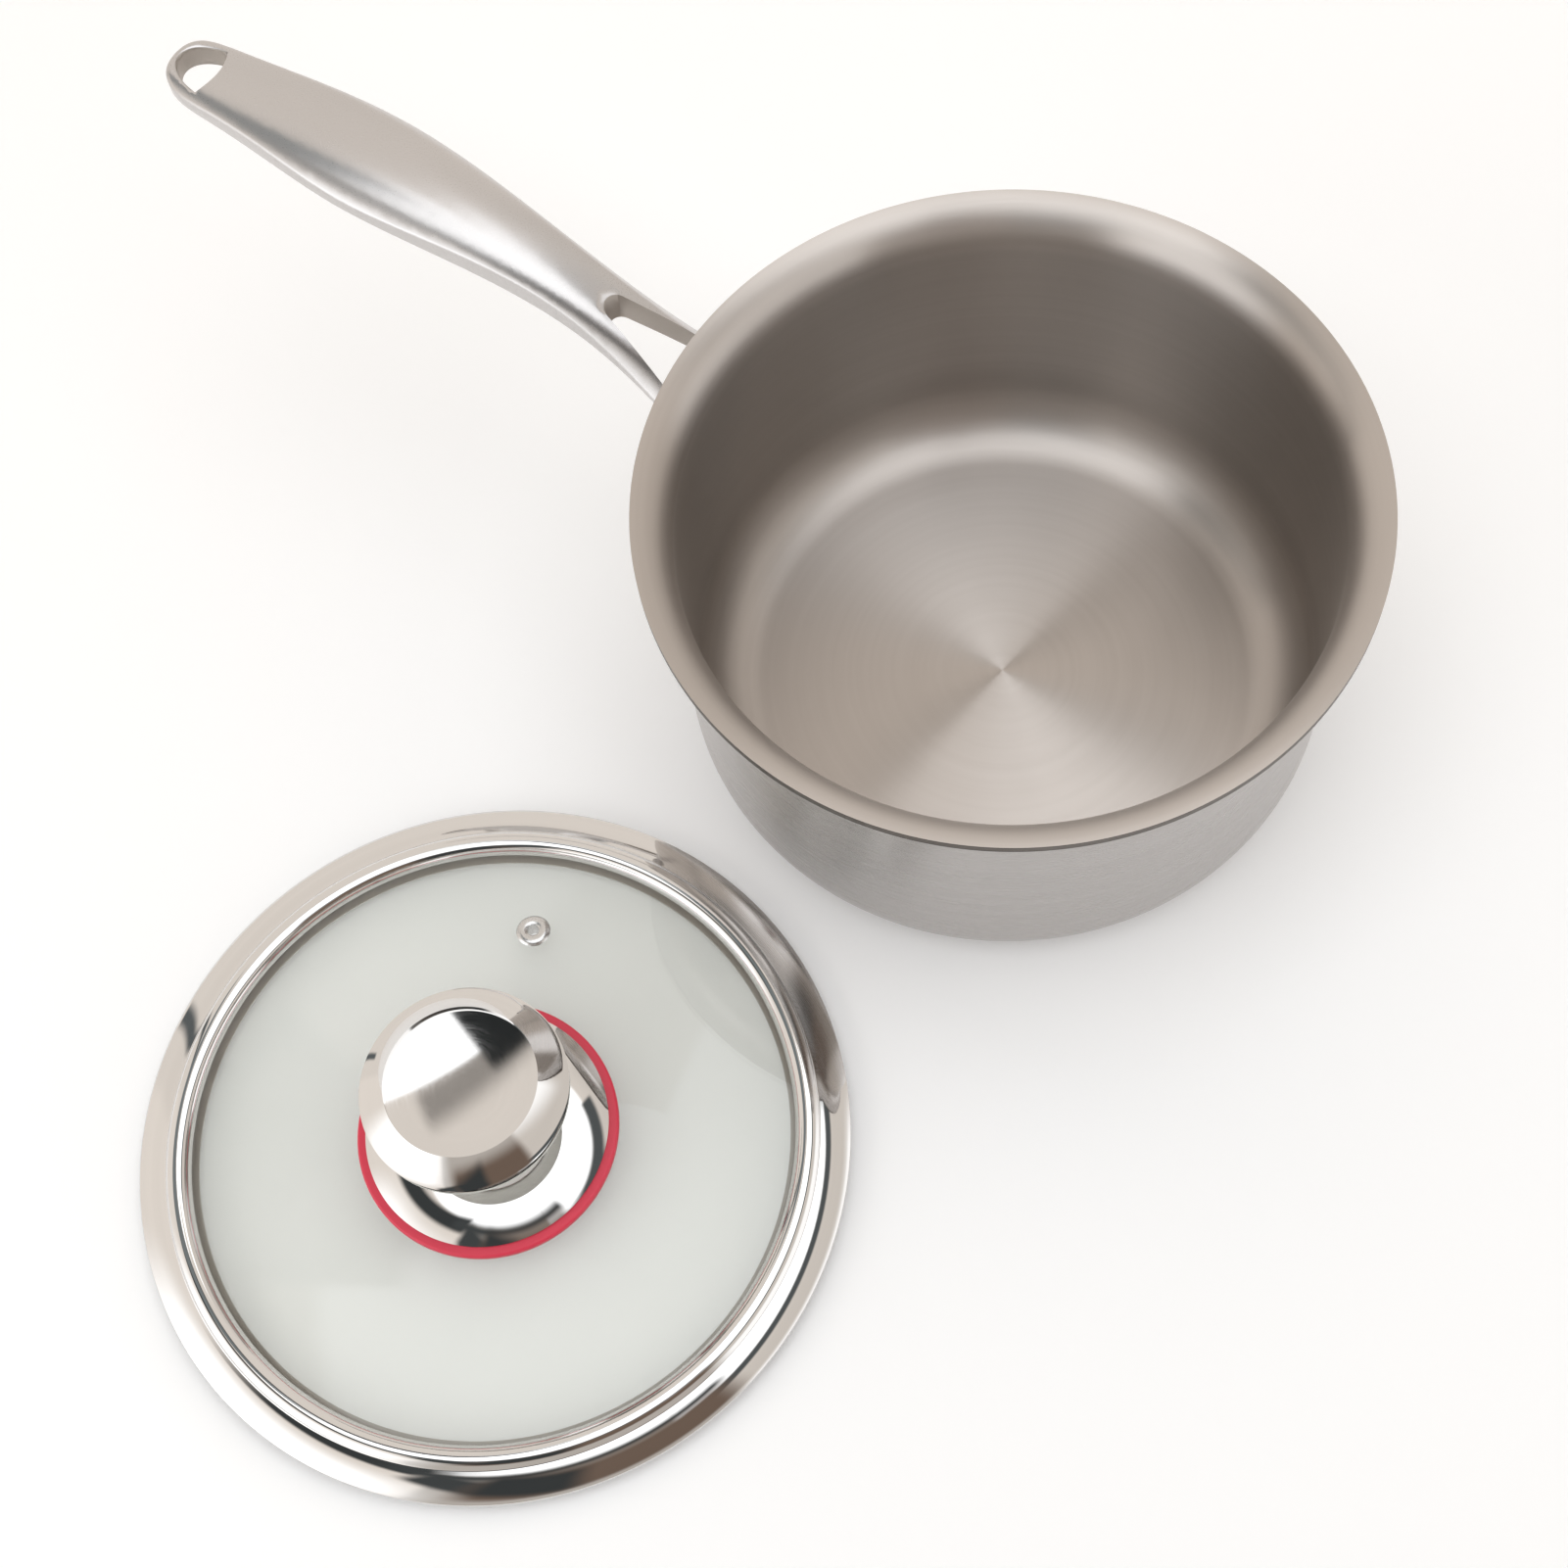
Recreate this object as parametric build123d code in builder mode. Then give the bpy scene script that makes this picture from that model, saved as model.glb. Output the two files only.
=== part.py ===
from build123d import *
from math import acos, asin, cos, degrees, radians, sin, sqrt
import os

# Saucepan with a glass lid. Millimetres, +Z up.
# The origin is the centre of the pan's underside and the handle points along -X.
# The lid lies right way up on the same surface, beside the pan.

os.makedirs("parts", exist_ok=True)

# ---------------------------------------------------------------- pan: driving dimensions
rim_radius = 100.5  # trimmed edge of the pouring rim
rim_overhang = 10.5  # the rim's edge beyond the inside of the straight wall
pan_height = 101.5
skin_thickness = 0.5  # each of the two stainless skins
core_thickness = 1.4  # aluminium between them
base_corner_radius = 20.0  # outside, between the floor and the wall
flare_radius = 12.5  # inside of the curve that turns the wall out into the rim

# ---------------------------------------------------------------- handle: driving dimensions
# reaches are measured outwards from the pan's wall and lengths back from the handle's tip,
# rises from the height of the feet
foot_below_flare = 4.5  # the legs' middle, under the height where the flare starts
foot_half_spread = 15.4
neck_reach = 33.6
neck_half_width = 10.0
grip_length = 64.1  # to the widest place of the palm swell
grip_half_width = 15.6
nose_length = 17.1
shoulder_half_width = 11.1
handle_reach = 170.6
arch_reach = 46.3
arch_rise = 26.2
crest_length = 79.5
crest_rise = 38.9
tip_rise = 48.2
foot_slope = 0.66
tip_slope = 0.11
foot_thickness = 8.4  # thicknesses are in the middle of the crowned section
neck_thickness = 9.2
grip_thickness = 12.4
tip_thickness = 6.4
leg_flank = 3.6  # widths of the sloping flanks, seen from above
neck_flank = 3.6
grip_flank = 6.8
nose_flank = 4.8
tip_flank = 3.2
side_drop = 0.2  # how far the flanks fall below the middle, as a share of the thickness
side_slope = 1.3  # of the flanks where they reach the sides
blank_margin = 2.2  # how much wider the blank is than the outline
overrun = 4.0  # of the blank past the wall and past the tip
edge_round = 1.6  # along the outer edges of the casting
leg_thickness = 3.0
crotch_radius = 4.1
crotch_reach = 27.8  # centre of the round end of the fork's gap
loop_thickness = 2.2  # strap round the hanging hole
loop_length = 13.1  # to the corners of the hanging hole
loop_half_width = 7.9
loop_scoop = 2.2  # how far the grip's end is scooped in behind those corners

pad_width = 15.0
pad_height = 21.0
pad_thickness = 2.4
pad_corner_radius = 4.0
pad_below_flare = 0.4
weld_radius = 1.9
weld_spacing = 5.6
weld_margin = 3.3  # from the pad's lower end to the middle of the lower weld
weld_crown = 0.4

part_clearance = 0.05  # between small pieces that are fixed to one another

# ---------------------------------------------------------------- lid: driving dimensions
lid_gap = 4.3  # between the two rims, where the lid lies beside the pan
lid_bearing = -105.7  # direction from the pan to the lid, from +X towards +Y
lid_edge_inset = 1.0  # how far the lid's edge stays inside the pan's rim
skirt_clearance = 0.3  # between the lid's skirt and the pan's mouth
sheet = 0.6  # stainless strip of the rim band
skirt_depth = 4.6  # from the middle of the band's hemmed edge down to the foot of its skirt
crease_outset = 1.5  # from the middle of the skirt out to the crease between flange and bead
flange_rise = 3.6  # from the hemmed edge up to the crease beside the bead
flange_edge_slope = 33.0  # degrees
hem_radius = 0.5  # these four radii are to the middle of the strip
crease_radius = 0.8
foot_radius = 0.8
lip_radius = 0.45
foot_flat = 0.2
bead_width = 6.4
bead_rise = 1.6
bead_crest_inset = 2.7  # from the crease to the top of the bead

glass_thickness = 4.0
dome_radius = 520.0
glass_edge_clearance = 0.3
glass_edge_round = 0.8
under_lip_width = 6.3  # how far the band reaches in under the glass
seat_clearance = 0.05  # between the glass and whatever bears on it

vent_distance = 59.8  # from the lid's axis
vent_bearing = 111.0
vent_bore_radius = 1.7
vent_wall = 0.5
vent_flange_radius = 4.9
vent_flange_height = 0.9
vent_tail_radius = 3.6
vent_hole_clearance = 0.15

gasket_radius = 36.2
gasket_width = 9.0
gasket_thickness = 1.9
gasket_round = 0.9
saucer_radius = 33.6
saucer_height = 5.6  # from its edge up to the flat seat
saucer_fall = 0.06  # slope of the dome where it leaves the seat
seat_margin = 1.0  # how much wider the saucer's flat seat is than the knob's neck
shell = 0.9  # spun stainless of the saucer and the knob
neck_radius = 11.0
neck_round = 1.2
waist_radius = 9.6
waist_height = 8.0  # above the knob's seat on the saucer
knob_radius = 27.4
brim_width = 1.7
brim_height = 28.7  # outer edge of the cap, above the knob's seat
brim_slope = 0.45
bevel_rise = 3.9
disc_radius = 21.2
disc_thickness = 1.4
disc_dish = 0.7
disc_edge_round = 0.35
ledge_width = 3.0

post_radius = 6.0
post_height = 19.9  # above the knob's seat
post_chamfer = 0.8
collar_radius = 8.4
collar_thickness = 1.5
screw_radius = 2.5
screw_length = 20.0
screw_head_radius = 4.6
screw_head_height = 2.6
screw_head_round = 0.8
screw_tip_chamfer = 0.6
screw_recess_length = 5.0
screw_recess_width = 1.1
screw_recess_depth = 1.4
bore_runout = 2.0  # how much deeper the post is bored than the screw reaches
bush_wall = 1.2
bush_flange_radius = 9.0
bush_flange_thickness = 1.2
washer_radius = 7.6
washer_thickness = 1.0
lock_washer_radius = 4.8
lock_washer_thickness = 1.0
lock_washer_gap = 0.9

# ---------------------------------------------------------------- derived values
mouth_radius = rim_radius - rim_overhang  # inside of the straight wall, 90 mm in an 18 cm pan
wall_thickness = 2 * skin_thickness + core_thickness
wall_radius = mouth_radius + wall_thickness
flare_axis = mouth_radius + flare_radius
flare_start = pan_height - sqrt(flare_radius**2 - (flare_axis - rim_radius) ** 2)
floor_corner_radius = base_corner_radius - wall_thickness

tip_radius = wall_radius + handle_reach  # of the circle round the pan's axis that the handle's tip reaches
foot_z = flare_start - foot_below_flare
gap_half_width = foot_half_spread - leg_thickness
pad_top = flare_start - pad_below_flare
pad_bottom = pad_top - pad_height
pad_offset = foot_half_spread - leg_thickness / 2  # each pad is centred behind its leg

lid_radius = rim_radius - lid_edge_inset
lid_distance = rim_radius + lid_gap + lid_radius
lid_x = lid_distance * cos(radians(lid_bearing))
lid_y = lid_distance * sin(radians(lid_bearing))
lid_axis = Axis((lid_x, lid_y, 0), (0, 0, 1))
lid_section = Plane(origin=(lid_x, lid_y, 0), x_dir=(1, 0, 0), z_dir=(0, -1, 0))

skirt_middle = mouth_radius - skirt_clearance - sheet / 2
glass_radius = mouth_radius - skirt_clearance - sheet - glass_edge_clearance
inner_dome_radius = dome_radius - glass_thickness
glass_edge_height = sheet + foot_radius + lip_radius + seat_clearance  # room for the lip's bends
dome_centre_z = glass_edge_height - sqrt(inner_dome_radius**2 - glass_radius**2)
glass_apex = dome_centre_z + dome_radius
vent_tilt = degrees(asin(vent_distance / dome_radius))

gasket_inner_radius = gasket_radius - gasket_width
post_hole_radius = post_radius + part_clearance
saucer_seat_radius = neck_radius + seat_margin
screw_bore_radius = screw_radius + part_clearance
bush_radius = screw_bore_radius + bush_wall


def lid_level(height):
    """Level plane centred on the lid's axis."""
    return Plane(origin=(lid_x, lid_y, height))


def glass_top(radius):
    """Height of the glass's upper face, at a distance from the lid's axis."""
    return dome_centre_z + sqrt(dome_radius**2 - radius**2)


def glass_underside(radius):
    return dome_centre_z + sqrt(inner_dome_radius**2 - radius**2)


# the stack on the glass, from the bottom up
gasket_top = glass_top(gasket_radius) + seat_clearance + gasket_thickness
saucer_foot = gasket_top + seat_clearance
saucer_top = saucer_foot + saucer_height
knob_seat = saucer_top + part_clearance
brim_z = knob_seat + brim_height
cap_top = brim_z + brim_slope * brim_width + bevel_rise
ledge_z = cap_top - disc_thickness - part_clearance
# and from the glass down
bush_flange_z = glass_underside(bush_flange_radius) - seat_clearance - bush_flange_thickness
washer_z = bush_flange_z - part_clearance - washer_thickness
lock_washer_z = washer_z - part_clearance - lock_washer_thickness
screw_head_z = lock_washer_z - part_clearance - screw_head_height


def finish(part, label):
    """Label a finished piece and write its STEP file."""
    part.label = label
    export_step(part, f"parts/{label}.step")


# ================================================================ the three-ply vessel
def rim_turn(depth):
    """Angle that the flare turns through before it meets the trimmed edge."""
    return degrees(acos((flare_axis - rim_radius) / (flare_radius - depth)))


def draw_face_of_ply(depth):
    """Half section of the vessel, at a depth below the cooking surface, from the axis to the rim."""
    corner = floor_corner_radius + depth
    wall = mouth_radius + depth
    floor = Line((0, wall_thickness - depth), (wall - corner, wall_thickness - depth))
    bend = JernArc(start=floor @ 1, tangent=(1, 0), radius=corner, arc_size=90)
    side = Line(bend @ 1, (wall, flare_start))
    lip = JernArc(start=side @ 1, tangent=(0, 1), radius=flare_radius - depth, arc_size=-rim_turn(depth))
    return floor @ 0, lip @ 1


ply_depths = {
    "cooking_skin": (0, skin_thickness),
    "aluminium_core": (skin_thickness, skin_thickness + core_thickness),
    "outer_skin": (skin_thickness + core_thickness, wall_thickness),
}
for ply_name, (near_face, far_face) in ply_depths.items():
    with BuildPart() as ply:
        with BuildSketch(Plane.XZ):
            with BuildLine():
                near_axis, near_rim = draw_face_of_ply(near_face)
                far_axis, far_rim = draw_face_of_ply(far_face)
                Line(near_axis, far_axis)
                Line(near_rim, far_rim)
            make_face()
        revolve(axis=Axis.Z)
    finish(ply.part, ply_name)

# ================================================================ the cast handle
# two curved feet, cut from a ring that hugs the wall, with their plug welds under the legs
with BuildPart() as pads:
    with BuildSketch(Plane.XY.offset(pad_bottom)):
        Circle(wall_radius + pad_thickness)
        Circle(wall_radius, mode=Mode.SUBTRACT)
    extrude(amount=pad_height)
    with BuildSketch(Plane.YZ.offset(-wall_radius - pad_thickness)):
        with Locations((0, pad_bottom + pad_height / 2)):
            with GridLocations(2 * pad_offset, 0, 2, 1):
                RectangleRounded(pad_width, pad_height, pad_corner_radius)
    extrude(amount=wall_radius, mode=Mode.INTERSECT)

weld_face = Plane.YZ.offset(-wall_radius - pad_thickness - weld_crown)
weld_middle = (0, pad_bottom + weld_margin + weld_spacing / 2)
with BuildPart() as handle_welds:
    with BuildSketch(Plane.XY.offset(pad_bottom)):
        Circle(wall_radius + pad_thickness + weld_crown)
        Circle(wall_radius, mode=Mode.SUBTRACT)
    extrude(amount=pad_height)
    with BuildSketch(weld_face):
        with Locations(weld_middle):
            with GridLocations(2 * pad_offset, weld_spacing, 2, 2):
                Circle(weld_radius)
    extrude(amount=wall_radius, mode=Mode.INTERSECT)
    outer_rims = handle_welds.edges().filter_by(GeomType.LINE, reverse=True)
    fillet(outer_rims.filter_by(lambda edge: edge.center().X < -wall_radius), 0.8 * weld_crown)
finish(handle_welds.part, "handle_welds")

with BuildLine(Plane.XZ) as spine:
    Spline(
        (-wall_radius + overrun, foot_z - overrun * foot_slope),
        (-wall_radius - arch_reach, foot_z + arch_rise),
        (-tip_radius + crest_length, foot_z + crest_rise),
        (-tip_radius - overrun, foot_z + tip_rise + overrun * tip_slope),
        tangents=[(-1, foot_slope), (-1, tip_slope)],
    )
arch = spine.edges()[0]

nose_half_width = (grip_half_width + shoulder_half_width) / 2
# place along the arch, half width of the outline there, thickness in the middle,
# width of each sloping flank, radii of the crown and of the belly
stations = [
    (0.0, foot_half_spread, foot_thickness, leg_flank, 80, 80),
    (0.2, neck_half_width, neck_thickness, neck_flank, 50, 70),
    (0.58, grip_half_width, grip_thickness, grip_flank, 30, 70),
    (0.84, nose_half_width, (grip_thickness + tip_thickness) / 2, nose_flank, 40, 75),
    (1.0, shoulder_half_width - blank_margin, tip_thickness, tip_flank, 60, 90),
]


def sagitta(radius, half_chord):
    return radius - sqrt(radius**2 - half_chord**2)


with BuildPart() as handle:
    # a blank a little wider than the outline, with a shouldered crown, sloping flanks and a belly
    for place, half_width, thickness, flank_width, crown_radius, belly_radius in stations:
        across = Plane(origin=arch @ place, x_dir=(0, 1, 0), z_dir=-(arch % place))
        shoulder = half_width - flank_width
        shoulder_level = thickness / 2 - sagitta(crown_radius, shoulder)
        side = half_width + blank_margin
        crown_edge = -side_drop * thickness
        belly_edge = sagitta(belly_radius, side) - thickness / 2
        with BuildSketch(across):
            with BuildLine():
                crown = Spline(
                    (-side, crown_edge),
                    (-shoulder, shoulder_level),
                    (0, thickness / 2),
                    (shoulder, shoulder_level),
                    (side, crown_edge),
                    tangents=[(1, side_slope), (1, -side_slope)],
                )
                belly = ThreePointArc((-side, belly_edge), (0, -thickness / 2), (side, belly_edge))
                Line(crown @ 0, belly @ 0)
                Line(crown @ 1, belly @ 1)
            make_face()
    loft()

    # the outline from above: spread feet, a neck, the palm swell and a round nose
    with BuildSketch(Plane.XY):
        with BuildLine():
            flank = Spline(
                (-wall_radius + pad_thickness, foot_half_spread),
                (-wall_radius - neck_reach, neck_half_width),
                (-tip_radius + grip_length, grip_half_width),
                (-tip_radius + nose_length, shoulder_half_width),
                (-tip_radius, 0),
                tangents=[(-1, -0.2), (0, -1)],
            )
            Line(flank @ 0, (-wall_radius + pad_thickness, 0))
            mirror(about=Plane.XZ)
        make_face()
    extrude(amount=2 * pan_height, mode=Mode.INTERSECT)
    long_edges = handle.edges().filter_by(lambda edge: edge.length > handle_reach / 2)
    fillet(long_edges, edge_round)

    # the gap between the legs, with a round crotch
    with BuildSketch(Plane.XY):
        with BuildLine():
            crotch = CenterArc((-wall_radius - crotch_reach, 0), crotch_radius, 97, 166)
            inner_leg = Line(crotch @ 0, (-wall_radius + pad_thickness, gap_half_width))
            other_leg = Line(crotch @ 1, (-wall_radius + pad_thickness, -gap_half_width))
            Line(inner_leg @ 1, other_leg @ 1)
        make_face()
    extrude(amount=2 * pan_height, mode=Mode.SUBTRACT)

    # the hanging hole: a scooped end on the grip, and a thin strap round the nose
    with BuildSketch(Plane.XY):
        with BuildLine():
            scoop = ThreePointArc(
                (-tip_radius + loop_length, loop_half_width),
                (-tip_radius + loop_length + loop_scoop, 0),
                (-tip_radius + loop_length, -loop_half_width),
            )
            Spline(
                scoop @ 0,
                (-tip_radius + loop_thickness, 0),
                scoop @ 1,
                tangents=[(-1, -0.15), (0, -1), (1, -0.15)],
            )
        make_face()
    extrude(amount=2 * pan_height, mode=Mode.SUBTRACT)

    # the feet, trimmed to the wall with the legs and drilled for the welds
    add(pads.part)
    with BuildSketch(Plane.XY):
        Circle(wall_radius)
    extrude(amount=2 * pan_height, mode=Mode.SUBTRACT)
    with BuildSketch(weld_face):
        with Locations(weld_middle):
            with GridLocations(2 * pad_offset, weld_spacing, 2, 2):
                Circle(weld_radius + part_clearance)
    extrude(amount=wall_radius, mode=Mode.SUBTRACT)
finish(handle.part, "handle")

# ================================================================ the lid: glass and rim band
# every piece of the lid but the eyelet is a half section in lid_section, turned about lid_axis
vent_outwards = Vector(
    sin(radians(vent_tilt)) * cos(radians(vent_bearing)),
    sin(radians(vent_tilt)) * sin(radians(vent_bearing)),
    cos(radians(vent_tilt)),
)
vent_sideways = Vector(-sin(radians(vent_bearing)), cos(radians(vent_bearing)), 0)
vent_point = Vector(lid_x, lid_y, dome_centre_z) + vent_outwards * dome_radius
vent_section = Plane(origin=vent_point, x_dir=vent_sideways, z_dir=vent_sideways.cross(vent_outwards))

with BuildPart() as lid_glass:
    hole_radius = bush_radius + part_clearance
    with BuildSketch(lid_section):
        with BuildLine():
            outside = RadiusArc(
                (hole_radius, glass_top(hole_radius)), (glass_radius, glass_top(glass_radius)), dome_radius
            )
            inside = RadiusArc(
                (hole_radius, glass_underside(hole_radius)),
                (glass_radius, glass_edge_height),
                inner_dome_radius,
            )
            Line(outside @ 0, inside @ 0)
            Line(outside @ 1, inside @ 1)
        half_section = make_face()
        fillet(half_section.vertices().sort_by(Axis.X)[-2:], glass_edge_round)
    revolve(axis=lid_axis)
    with BuildSketch(Plane(origin=vent_point, x_dir=vent_sideways, z_dir=vent_outwards)):
        Circle(vent_bore_radius + vent_wall + vent_hole_clearance)
    extrude(amount=2 * glass_thickness, both=True, mode=Mode.SUBTRACT)
finish(lid_glass.part, "lid_glass")

# one strip, drawn along its middle: bead, flange, hem, underside, skirt, foot, and lip under the glass
with BuildPart() as rim_band:
    hem_tilt = radians(flange_edge_slope)
    hem_top = Vector(lid_radius - sheet / 2 - hem_radius, skirt_depth) + hem_radius * Vector(
        sin(hem_tilt), cos(hem_tilt)
    )
    crease = Vector(skirt_middle + crease_outset, skirt_depth + flange_rise)
    bead_tip = crease.X - bead_width
    lip_corner = skirt_middle - 2 * foot_radius - foot_flat
    lip_tip = glass_radius - under_lip_width
    lip_drop = seat_clearance + sheet / 2
    with BuildSketch(lid_section):
        with BuildLine() as strip:
            flange = TangentArc(hem_top, crease, tangent=(-cos(hem_tilt), sin(hem_tilt)))
            ThreePointArc(
                crease,
                crease + Vector(-bead_crest_inset, bead_rise),
                (bead_tip, glass_top(bead_tip - sheet / 2) + 2 * seat_clearance),
            )
            crease_corner = strip.vertices().filter_by(
                lambda corner: (corner.center() - crease).length < sheet
            )
            fillet(crease_corner, crease_radius)
            hem = JernArc(start=hem_top, tangent=-(flange % 0), radius=hem_radius, arc_size=-180)
            underside = JernArc(
                start=hem @ 1,
                tangent=hem % 1,
                radius=flange.radius - 2 * hem_radius,
                arc_size=degrees(flange.length / flange.radius),
            )
            inwards = underside % 1
            turn = JernArc(
                start=underside @ 1,
                tangent=inwards,
                radius=((underside @ 1).X - skirt_middle) / (1 + inwards.Y),
                arc_size=90 + degrees(asin(inwards.Y)),
            )
            FilletPolyline(
                turn @ 1,
                (skirt_middle, sheet / 2),
                (lip_corner, sheet / 2),
                (lip_corner, glass_underside(lip_corner) - lip_drop),
                (lip_tip, glass_underside(lip_tip) - lip_drop),
                radius=(foot_radius, foot_radius, lip_radius),
            )
        trace(line_width=sheet)
    revolve(axis=lid_axis)
finish(rim_band.part, "rim_band")

# a rivet with a domed head above the glass and a flared tail below it
with BuildPart() as vent_eyelet:
    tube_radius = vent_bore_radius + vent_wall
    tail_top = -glass_thickness - seat_clearance
    with BuildSketch(vent_section):
        with BuildLine():
            head = ThreePointArc(
                (vent_bore_radius, seat_clearance + vent_flange_height / 2),
                ((vent_bore_radius + vent_flange_radius) / 2, seat_clearance + vent_flange_height),
                (vent_flange_radius, seat_clearance),
            )
            Polyline(
                head @ 1,
                (tube_radius, seat_clearance),
                (tube_radius, tail_top),
                (vent_tail_radius, tail_top),
                (vent_bore_radius, tail_top - vent_wall),
                head @ 0,
            )
        make_face()
    revolve(axis=Axis(vent_point, vent_outwards))
finish(vent_eyelet.part, "vent_eyelet")

# ================================================================ the lid: knob and fixings
with BuildPart() as knob_gasket:
    with BuildSketch(lid_section):
        with BuildLine():
            seat = RadiusArc(
                (gasket_inner_radius, glass_top(gasket_inner_radius) + seat_clearance),
                (gasket_radius, glass_top(gasket_radius) + seat_clearance),
                dome_radius,
            )
            Polyline(seat @ 0, (gasket_inner_radius, gasket_top), (gasket_radius, gasket_top), seat @ 1)
        half_section = make_face()
        outer_corner = half_section.vertices().sort_by(Axis.X)[-2:].sort_by(Axis.Y)[-1]
        fillet(outer_corner, gasket_round)
    revolve(axis=lid_axis)
finish(knob_gasket.part, "knob_gasket")

# a spun dome with a flat seat for the knob
with BuildPart() as knob_saucer:
    with BuildSketch(lid_section):
        with BuildLine():
            outside = TangentArc(
                (saucer_seat_radius, saucer_top),
                (saucer_radius, saucer_foot + shell),
                tangent=(1, -saucer_fall),
            )
            inside = TangentArc(
                (saucer_seat_radius, saucer_top - shell),
                (saucer_radius - shell, saucer_foot),
                tangent=(1, -saucer_fall),
            )
            Polyline(
                outside @ 0,
                (post_hole_radius, saucer_top),
                (post_hole_radius, saucer_top - shell),
                inside @ 0,
            )
            Polyline(outside @ 1, (saucer_radius, saucer_foot), inside @ 1)
        make_face()
    revolve(axis=lid_axis)
finish(knob_saucer.part, "knob_saucer")

# a spun trumpet: floor, waist and a quarter-round flare out to the brim
with BuildPart() as knob_body:
    with BuildSketch(lid_section):
        with BuildLine() as spun:
            waist = (waist_radius, knob_seat + waist_height)
            lip_z = brim_z - 2 * shell - part_clearance
            neck = TangentArc(waist, (neck_radius, knob_seat), tangent=(0, -1))
            TangentArc(waist, (knob_radius, lip_z), tangent=(0, 1))
            Line(neck @ 1, (post_hole_radius, knob_seat))
            neck_corner = spun.vertices().filter_by(
                lambda corner: (corner.center() - neck @ 1).length < shell
            )
            fillet(neck_corner, neck_round)
            offset(amount=shell, side=Side.RIGHT)
        make_face()
    revolve(axis=lid_axis)
finish(knob_body.part, "knob_body")

# the knob's top ring: a sloping brim, a bevel, and a ledge sunk for the disc
with BuildPart() as knob_cap:
    recess_radius = disc_radius + part_clearance
    with BuildSketch(lid_section):
        with BuildLine():
            Polyline(
                (knob_radius, brim_z),
                (knob_radius - brim_width, brim_z + brim_slope * brim_width),
                (recess_radius, cap_top),
                (recess_radius, ledge_z),
                (recess_radius - ledge_width, ledge_z),
            )
            offset(amount=shell, side=Side.LEFT)
        make_face()
    revolve(axis=lid_axis)
finish(knob_cap.part, "knob_cap")

with BuildPart() as knob_disc:
    disc_seat = cap_top - disc_thickness
    with BuildSketch(lid_section):
        with BuildLine():
            dish = TangentArc((0, cap_top - disc_dish), (disc_radius, cap_top), tangent=(1, 0))
            Polyline(dish @ 0, (0, disc_seat), (disc_radius, disc_seat), dish @ 1)
        half_section = make_face()
        fillet(half_section.vertices().sort_by(Axis.Y)[-1], disc_edge_round)
    revolve(axis=lid_axis)
finish(knob_disc.part, "knob_disc")

# the knob's stem stands on the glass, and its collar clamps the knob down on the saucer
with BuildPart() as knob_post:
    post_foot = glass_apex + seat_clearance
    with BuildSketch(lid_level(post_foot)):
        Circle(post_radius)
    extrude(amount=knob_seat + post_height - post_foot)
    chamfer(knob_post.edges().sort_by(Axis.Z)[-1], post_chamfer)
    with BuildSketch(lid_level(knob_seat + shell + part_clearance)):
        Circle(collar_radius)
    extrude(amount=collar_thickness)
    with BuildSketch(lid_level(screw_head_z)):
        Circle(screw_bore_radius)
    extrude(amount=screw_head_height + screw_length + bore_runout, mode=Mode.SUBTRACT)
finish(knob_post.part, "knob_post")

# a flanged bush keeps the screw off the glass
with BuildPart() as glass_bush:
    with BuildSketch(lid_level(bush_flange_z)):
        Circle(bush_flange_radius)
    extrude(amount=bush_flange_thickness)
    fillet(glass_bush.edges().sort_by(Axis.Z)[0], bush_flange_thickness / 2)
    with BuildSketch(lid_level(bush_flange_z)):
        Circle(bush_radius)
    extrude(amount=glass_apex - part_clearance - bush_flange_z)
    with BuildSketch(lid_level(bush_flange_z)):
        Circle(screw_bore_radius)
    extrude(amount=glass_apex, mode=Mode.SUBTRACT)
finish(glass_bush.part, "glass_bush")

with BuildPart() as screw_washer:
    with BuildSketch(lid_level(washer_z)):
        Circle(washer_radius)
        Circle(screw_bore_radius, mode=Mode.SUBTRACT)
    extrude(amount=washer_thickness)
finish(screw_washer.part, "screw_washer")

# split on one side, as a spring washer is
with BuildPart() as lock_washer:
    with BuildSketch(lid_level(lock_washer_z)):
        Circle(lock_washer_radius)
        Circle(screw_bore_radius, mode=Mode.SUBTRACT)
        with Locations((lock_washer_radius, 0)):
            Rectangle(2 * lock_washer_radius, lock_washer_gap, mode=Mode.SUBTRACT)
    extrude(amount=lock_washer_thickness)
finish(lock_washer.part, "lock_washer")

# a pan-head screw with a cross recess, from underneath
with BuildPart() as lid_screw:
    with BuildSketch(lid_level(screw_head_z)):
        Circle(screw_head_radius)
    extrude(amount=screw_head_height)
    fillet(lid_screw.edges().sort_by(Axis.Z)[0], screw_head_round)
    with BuildSketch(lid_level(screw_head_z + screw_head_height)):
        Circle(screw_radius)
    extrude(amount=screw_length)
    chamfer(lid_screw.edges().sort_by(Axis.Z)[-1], screw_tip_chamfer)
    with BuildSketch(lid_level(screw_head_z)):
        Rectangle(screw_recess_length, screw_recess_width)
        Rectangle(screw_recess_width, screw_recess_length)
    extrude(amount=screw_recess_depth, mode=Mode.SUBTRACT)
finish(lid_screw.part, "lid_screw")
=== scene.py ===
# %% [markdown]
# # A saucepan and its glass lid
# The pan is drawn from three-ply sheet: two thin stainless skins with aluminium between them. Its handle is
# one satin casting. The lid is a shallow glass dome in a polished steel band, with a polished knob that
# stands on a red silicone ring. The CAD model gives every size and place; here each piece gets the surface
# and the finish that make it look real.

import bmesh
import bpy
from math import acos, asin, atan2, cos, degrees, hypot, pi, radians, sin, sqrt
from mathutils import Matrix, Vector


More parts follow.
